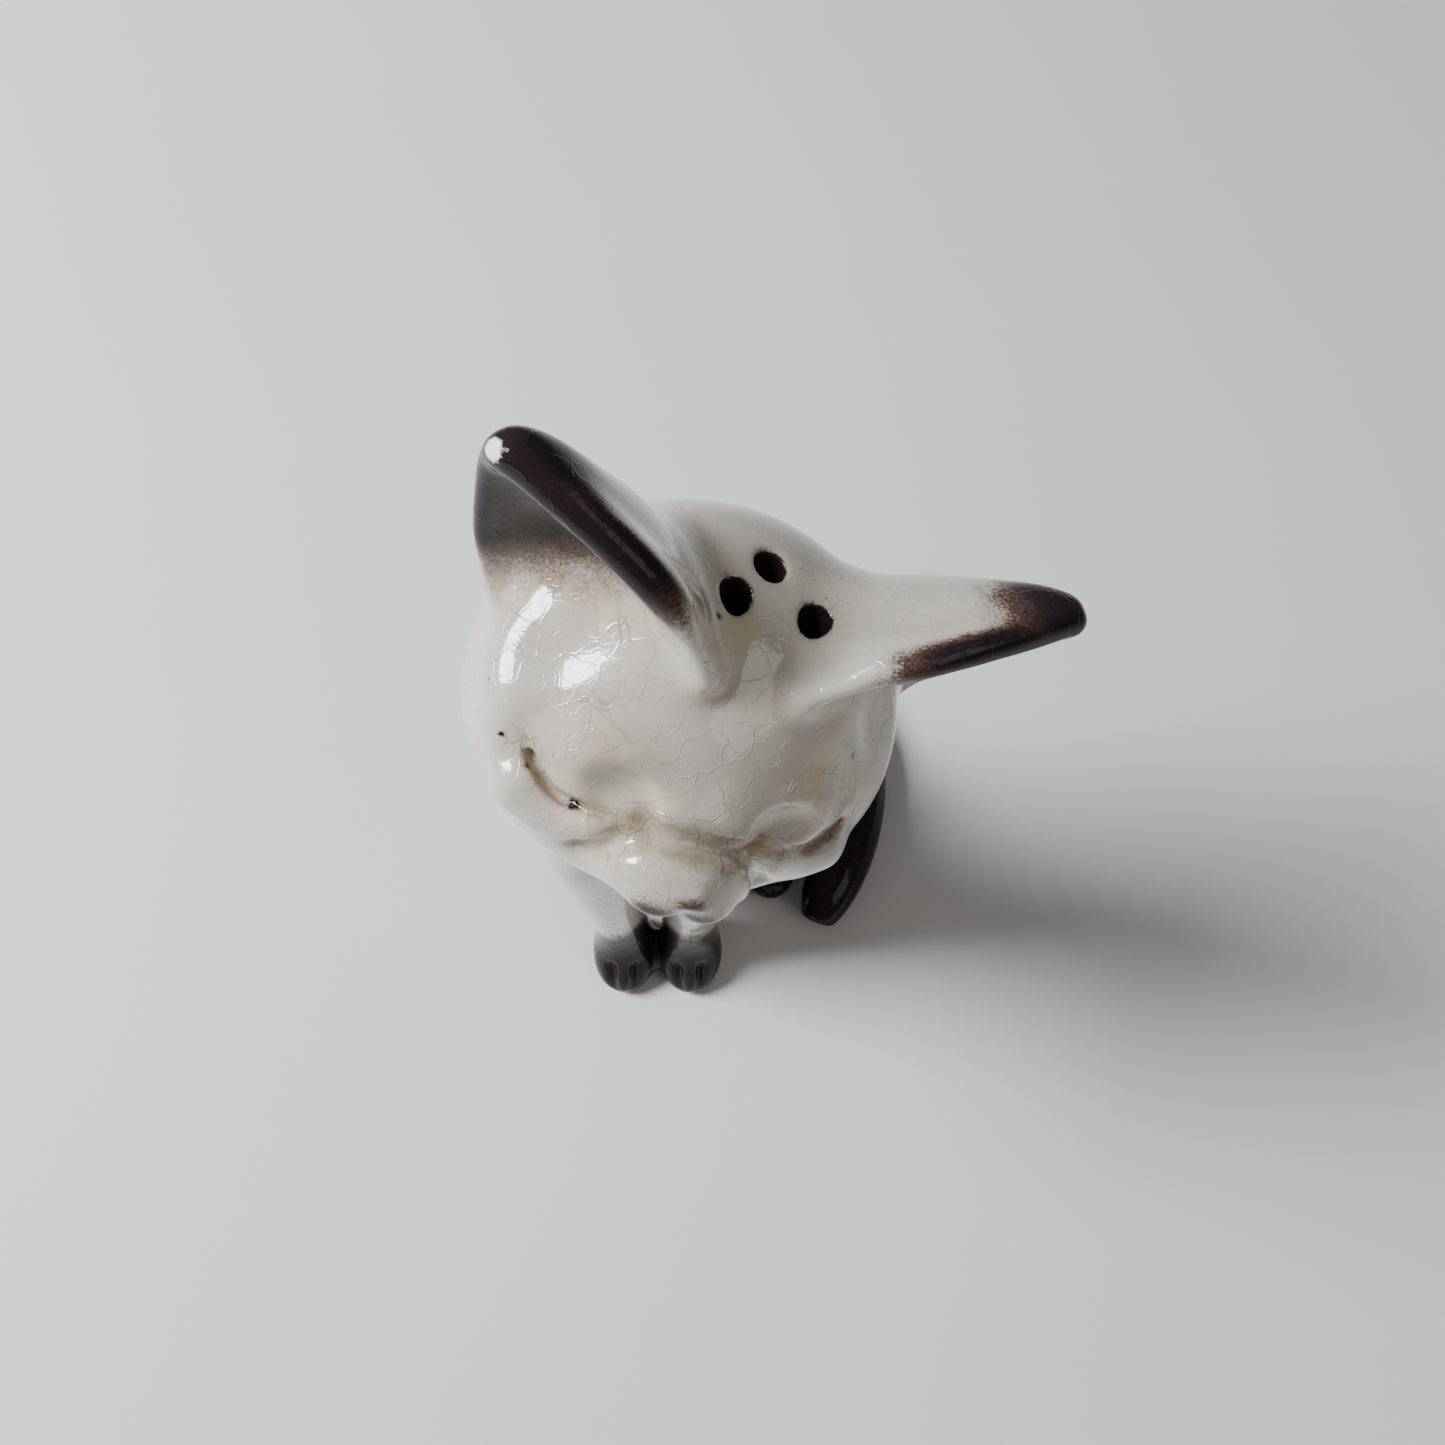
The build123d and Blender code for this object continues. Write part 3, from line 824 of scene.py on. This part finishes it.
class Nodes:
    """Short names for adding and joining a material's nodes."""

    def __init__(self, name):
        self.material = bpy.data.materials.new(name)
        self.material.use_nodes = True
        self.tree = self.material.node_tree
        self.tree.nodes.clear()

    def add(self, kind, **settings):
        node = self.tree.nodes.new(kind)
        for key, value in settings.items():
            setattr(node, key, value)
        return node

    def join(self, output, target):
        self.tree.links.new(output, target)

    def finish(self, shader):
        """Makes a shader the material's surface."""
        self.join(shader.outputs[0], self.add("ShaderNodeOutputMaterial").inputs[0])

    def put(self, value, target):
        """Sets a socket to a number or colour, or joins an output to it."""
        if isinstance(value, bpy.types.NodeSocket):
            self.join(value, target)
        else:
            target.default_value = value

    def math(self, operation, a, b=0.0, clamp=False):
        node = self.add("ShaderNodeMath", operation=operation, use_clamp=clamp)
        self.put(a, node.inputs[0])
        self.put(b, node.inputs[1])
        return node.outputs[0]

    def mix(self, share, a, b):
        """A colour from a to b."""
        node = self.add("ShaderNodeMix", data_type="RGBA")
        self.put(share, node.inputs[0])
        self.put(a, node.inputs[6])
        self.put(b, node.inputs[7])
        return node.outputs[2]

    def ramp(self, value, low, high, start=0.0, end=1.0):
        """start below low and end above high, with level ends."""
        node = self.add("ShaderNodeMapRange", interpolation_type="SMOOTHSTEP")
        self.put(value, node.inputs[0])
        for place, number in zip((1, 2, 3, 4), (low, high, start, end)):
            node.inputs[place].default_value = number
        return node.outputs[0]

    def fact(self, name):
        return self.add("ShaderNodeAttribute", attribute_name=name).outputs["Fac"]

    def position(self):
        return self.add("ShaderNodeTexCoord").outputs["Object"]

    def noise(self, where, scale, detail=2.0, roughness=0.5):
        node = self.add("ShaderNodeTexNoise")
        self.join(where, node.inputs["Vector"])
        node.inputs["Scale"].default_value = scale
        node.inputs["Detail"].default_value = detail
        node.inputs["Roughness"].default_value = roughness
        return node

    def bent(self, where, scale, amount):
        """Positions pushed about by noise, so that straight patterns wander."""
        push = self.noise(where, scale, 2.0)
        centred = self.add("ShaderNodeVectorMath", operation="SUBTRACT")
        self.join(push.outputs["Color"], centred.inputs[0])
        centred.inputs[1].default_value = (0.5, 0.5, 0.5)
        scaled = self.add("ShaderNodeVectorMath", operation="SCALE")
        self.join(centred.outputs[0], scaled.inputs[0])
        scaled.inputs["Scale"].default_value = amount
        moved = self.add("ShaderNodeVectorMath", operation="ADD")
        self.join(where, moved.inputs[0])
        self.join(scaled.outputs[0], moved.inputs[1])
        return moved.outputs[0]

    def cells(self, where, scale, feature="DISTANCE_TO_EDGE"):
        node = self.add("ShaderNodeTexVoronoi", feature=feature)
        self.join(where, node.inputs["Vector"])
        node.inputs["Scale"].default_value = scale
        return node

    def bump(self, height, distance, strength=1.0, normal=None):
        node = self.add("ShaderNodeBump")
        node.inputs["Strength"].default_value = strength
        node.inputs["Distance"].default_value = distance
        self.join(height, node.inputs["Height"])
        if normal is not None:
            self.join(normal, node.inputs["Normal"])
        return node.outputs[0]


def cream_layer(n, where, mottle):
    """Cream that shifts broadly in tone, with a fine brownish mottle."""
    broad = n.noise(where, 60.0, 3.0).outputs["Fac"]
    cream = n.mix(n.ramp(broad, 0.3, 0.7), (0.53, 0.485, 0.40, 1), (0.61, 0.57, 0.50, 1))
    return n.mix(n.math("MULTIPLY", n.ramp(mottle, 0.52, 0.75), 0.25), cream, (0.56, 0.49, 0.40, 1))


def tan_amount(n, where):
    """How much tan lies in stains and hollows, in patches. In hollows and creases the tan is partly painted
    shade.
    """
    stain = n.math("MULTIPLY", n.fact("stain"), 0.75)
    # tan in hollows is partly painted shade
    hollow = n.math("MULTIPLY", n.fact("hollow"), 0.55)
    patchy = n.ramp(n.noise(where, 420.0, 3.0, 0.6).outputs["Fac"], 0.25, 0.7, 0.45, 1.0)
    return n.math("MULTIPLY", n.math("ADD", stain, hollow, clamp=True), patchy, clamp=True)


def crazing(n, where, tan):
    """Cracks between wide cells, and between fine ones in patches and in the tan."""
    wide = n.cells(n.bent(where, 330.0, 0.0022), 400.0).outputs["Distance"]
    fine = n.cells(n.bent(where, 700.0, 0.0010), 900.0).outputs["Distance"]
    patches = n.ramp(n.noise(where, 110.0, 2.0).outputs["Fac"], 0.42, 0.58)
    fine_share = n.math("MAXIMUM", n.math("MULTIPLY", patches, 0.35), tan)
    fine_line = n.math("MULTIPLY", n.ramp(fine, 0.020, 0.070, 1.0, 0.0), fine_share)
    crack = n.math("MAXIMUM", n.ramp(wide, 0.010, 0.040, 1.0, 0.0), fine_line)
    strength = n.ramp(n.noise(where, 260.0, 2.0).outputs["Fac"], 0.35, 0.62, 0.25, 1.0)
    return n.math("MULTIPLY", crack, strength)


def crack_layer(n, crack, tan, colour):
    """Cracks are pale on clean cream, partly as a painted highlight, and brown everywhere, most of all in the
    tan.
    """
    # the pale crack colour is partly a painted highlight along the cracks
    pale = n.math("MULTIPLY", crack, n.ramp(tan, 0.1, 0.45, 0.30, 0.0))
    brown = n.math("MULTIPLY", crack, n.ramp(tan, 0.12, 0.5, 0.28, 0.50))
    return n.mix(brown, n.mix(pale, colour, (0.85, 0.84, 0.80, 1)), (0.13, 0.08, 0.05, 1))


def sprayed_layer(n, where, dark, colour):
    """Airbrushed brown, grainy where it fades and nearly black where it is full."""
    spray = n.noise(where, 4200.0, 2.0, 0.7).outputs["Fac"]
    cloud = n.noise(where, 520.0, 3.0, 0.55).outputs["Fac"]
    coarse = n.math("MULTIPLY", n.math("SUBTRACT", cloud, 0.5), 0.7)
    grain = n.math("ADD", n.math("MULTIPLY", n.math("SUBTRACT", spray, 0.5), 1.5), coarse)
    fading = n.math("MULTIPLY", n.math("MULTIPLY", dark, n.math("SUBTRACT", 1.0, dark)), 2.6)
    brushed = n.math("ADD", dark, n.math("MULTIPLY", grain, fading), clamp=True)
    brown = n.mix(n.ramp(brushed, 0.35, 1.0), (0.115, 0.062, 0.045, 1), (0.016, 0.010, 0.013, 1))
    return n.mix(n.ramp(brushed, 0.02, 0.62), colour, brown)


def dots(n, where, scale, channel, rarity, size):
    """Dots in some of the cells: a cell has one where its random channel is above rarity."""
    cells = n.cells(where, scale, "F1")
    chance = n.add("ShaderNodeSeparateColor")
    n.join(cells.outputs["Color"], chance.inputs[0])
    reach = n.ramp(chance.outputs[channel], rarity, 1.0, 0.0, size)
    return n.math("LESS_THAN", cells.outputs["Distance"], reach)


def glaze_normal(n, where, crack, mottle, bare):
    """A glaze that flows unevenly and is raised along its cracks, and rough bare clay."""
    waves = n.noise(where, 190.0, 1.0).outputs["Fac"]
    normal = n.bump(waves, 0.00022, 0.35)
    normal = n.bump(crack, 0.00004, 0.55, normal)
    return n.bump(n.math("MULTIPLY", mottle, bare), 0.00003, 0.5, normal)


def glaze_material():
    """Cream glaze with crazing, airbrushed brown, tan stains and painted shade, specks, painted glints on
    cracks and a chipped spot, and a bare foot.
    """
    n = Nodes("glazed_ceramic")
    where = n.position()
    dark, bare, chip_and_glint = n.fact("dark"), n.fact("bare"), n.fact("chip_and_glint")
    mottle = n.noise(where, 900.0, 4.0, 0.65).outputs["Fac"]
    tan = tan_amount(n, where)
    crack = crazing(n, where, tan)

    # tan: stains, and partly painted shade in hollows and creases
    colour = n.mix(tan, cream_layer(n, where, mottle), (0.33, 0.215, 0.125, 1))
    colour = n.mix(n.math("MULTIPLY", n.fact("yellow"), 0.45), colour, (0.60, 0.55, 0.28, 1))
    colour = crack_layer(n, crack, tan, colour)
    colour = sprayed_layer(n, where, dark, colour)
    pins = n.math("MULTIPLY", dots(n, where, 900.0, 1, 0.86, 0.10), 0.7)
    specks = n.math("MAXIMUM", dots(n, where, 330.0, 0, 0.80, 0.075), pins)
    colour = n.mix(specks, colour, (0.02, 0.012, 0.008, 1))
    colour = n.mix(n.fact("paint"), colour, (0.004, 0.004, 0.005, 1))
    # the chip's near white is partly a painted glint
    colour = n.mix(chip_and_glint, colour, (0.82, 0.81, 0.79, 1))
    clay_colour = n.mix(n.ramp(mottle, 0.35, 0.7), (0.62, 0.53, 0.42, 1), (0.42, 0.33, 0.24, 1))
    colour = n.mix(bare, colour, clay_colour)

    rough = n.ramp(n.math("MAXIMUM", bare, chip_and_glint), 0.0, 1.0, 0.16, 0.75)
    normal = glaze_normal(n, where, crack, mottle, bare)
    coat = n.math("MULTIPLY", n.math("SUBTRACT", 1.0, bare), n.ramp(dark, 0.2, 0.9, 1.0, 0.28))
    shader = n.add("ShaderNodeBsdfPrincipled")
    n.join(colour, shader.inputs["Base Color"])
    n.join(rough, shader.inputs["Roughness"])
    n.join(normal, shader.inputs["Normal"])
    n.join(normal, shader.inputs["Coat Normal"])
    n.join(coat, shader.inputs["Coat Weight"])
    n.join(n.ramp(dark, 0.2, 0.9, 0.25, 0.05), shader.inputs["Specular IOR Level"])
    shader.inputs["Coat Roughness"].default_value = 0.035
    shader.inputs["Coat IOR"].default_value = 1.5
    n.finish(shader)
    return n.material


def cork_material():
    """Pale cork with grains, dark pores and streaks."""
    n = Nodes("cork")
    where = n.position()
    grains = n.cells(n.bent(where, 900.0, 0.0006), 1100.0, "F1")
    tone = n.add("ShaderNodeSeparateColor")
    n.join(grains.outputs["Color"], tone.inputs[0])
    colour = n.mix(tone.outputs[0], (0.50, 0.33, 0.18, 1), (0.66, 0.47, 0.29, 1))
    streak = n.noise(n.bent(where, 200.0, 0.004), 380.0, 4.0, 0.6).outputs["Fac"]
    colour = n.mix(n.ramp(streak, 0.56, 0.72), colour, (0.24, 0.13, 0.065, 1))
    pores = n.noise(where, 1500.0, 3.0, 0.7).outputs["Fac"]
    colour = n.mix(n.ramp(pores, 0.60, 0.72), colour, (0.12, 0.06, 0.03, 1))
    height = n.math("SUBTRACT", tone.outputs[0], n.ramp(pores, 0.55, 0.75))
    shader = n.add("ShaderNodeBsdfPrincipled")
    n.join(colour, shader.inputs["Base Color"])
    shader.inputs["Roughness"].default_value = 0.85
    n.join(n.bump(height, 0.00012, 0.6), shader.inputs["Normal"])
    n.finish(shader)
    return n.material


def floor_material():
    """A plain pale floor, faintly uneven."""
    n = Nodes("pale_floor")
    tone = n.noise(n.position(), 14.0, 3.0).outputs["Fac"]
    shader = n.add("ShaderNodeBsdfPrincipled")
    n.join(n.mix(tone, (0.66, 0.64, 0.61, 1), (0.72, 0.70, 0.67, 1)), shader.inputs["Base Color"])
    shader.inputs["Roughness"].default_value = 0.7
    n.finish(shader)
    return n.material


# Stage


def make_floor():
    corners = [(x * FLOOR_HALF, y * FLOOR_HALF, 0) for x, y in ((-1, -1), (1, -1), (1, 1), (-1, 1))]
    mesh = bpy.data.meshes.new("floor")
    mesh.from_pydata(corners, [], [(0, 1, 2, 3)])
    floor = bpy.data.objects.new("floor", mesh)
    bpy.context.scene.collection.objects.link(floor)
    floor.data.materials.append(floor_material())


def aim(thing, target):
    """Turns a light to face a point."""
    thing.rotation_euler = (Vector(target) - thing.location).to_track_quat("-Z", "Y").to_euler()


def add_light(name, place, size, power, colour):
    data = bpy.data.lights.new(name, "AREA")
    data.shape = "RECTANGLE"
    data.size, data.size_y = size
    data.energy = power
    data.color = colour
    light = bpy.data.objects.new(name, data)
    light.location = place
    bpy.context.scene.collection.objects.link(light)
    aim(light, LIGHT_TARGET)


def make_lights():
    """A cool window light from the cat's right, a weak warm fill from its left and a pale sky."""
    add_light("window", WINDOW_PLACE, WINDOW_SIZE, WINDOW_POWER, WINDOW_COLOUR)
    add_light("fill", FILL_PLACE, FILL_SIZE, FILL_POWER, FILL_COLOUR)
    world = bpy.data.worlds.new("studio")
    bpy.context.scene.world = world
    world.use_nodes = True
    background = world.node_tree.nodes["Background"]
    background.inputs["Color"].default_value = SKY_COLOUR
    background.inputs["Strength"].default_value = SKY_STRENGTH


def make_camera():
    """Looks steeply down on the cat from in front."""
    data = bpy.data.cameras.new("camera")
    data.lens = LENS
    data.sensor_width = SENSOR
    data.clip_start = 0.005
    data.clip_end = 10
    camera = bpy.data.objects.new("camera", data)
    camera.location = Vector((SKULL + CAMERA_OFFSET) * MM)
    tilt = Matrix.Rotation(math.radians(CAMERA_TILT), 3, "X")
    camera.rotation_euler = (tilt @ Matrix.Rotation(math.radians(CAMERA_ROLL), 3, "Z")).to_euler()
    bpy.context.scene.collection.objects.link(camera)
    bpy.context.scene.camera = camera


def main():
    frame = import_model()
    make_ceramic(frame, glaze_material())
    make_cork(cork_material())
    make_floor()
    make_lights()
    make_camera()


main()
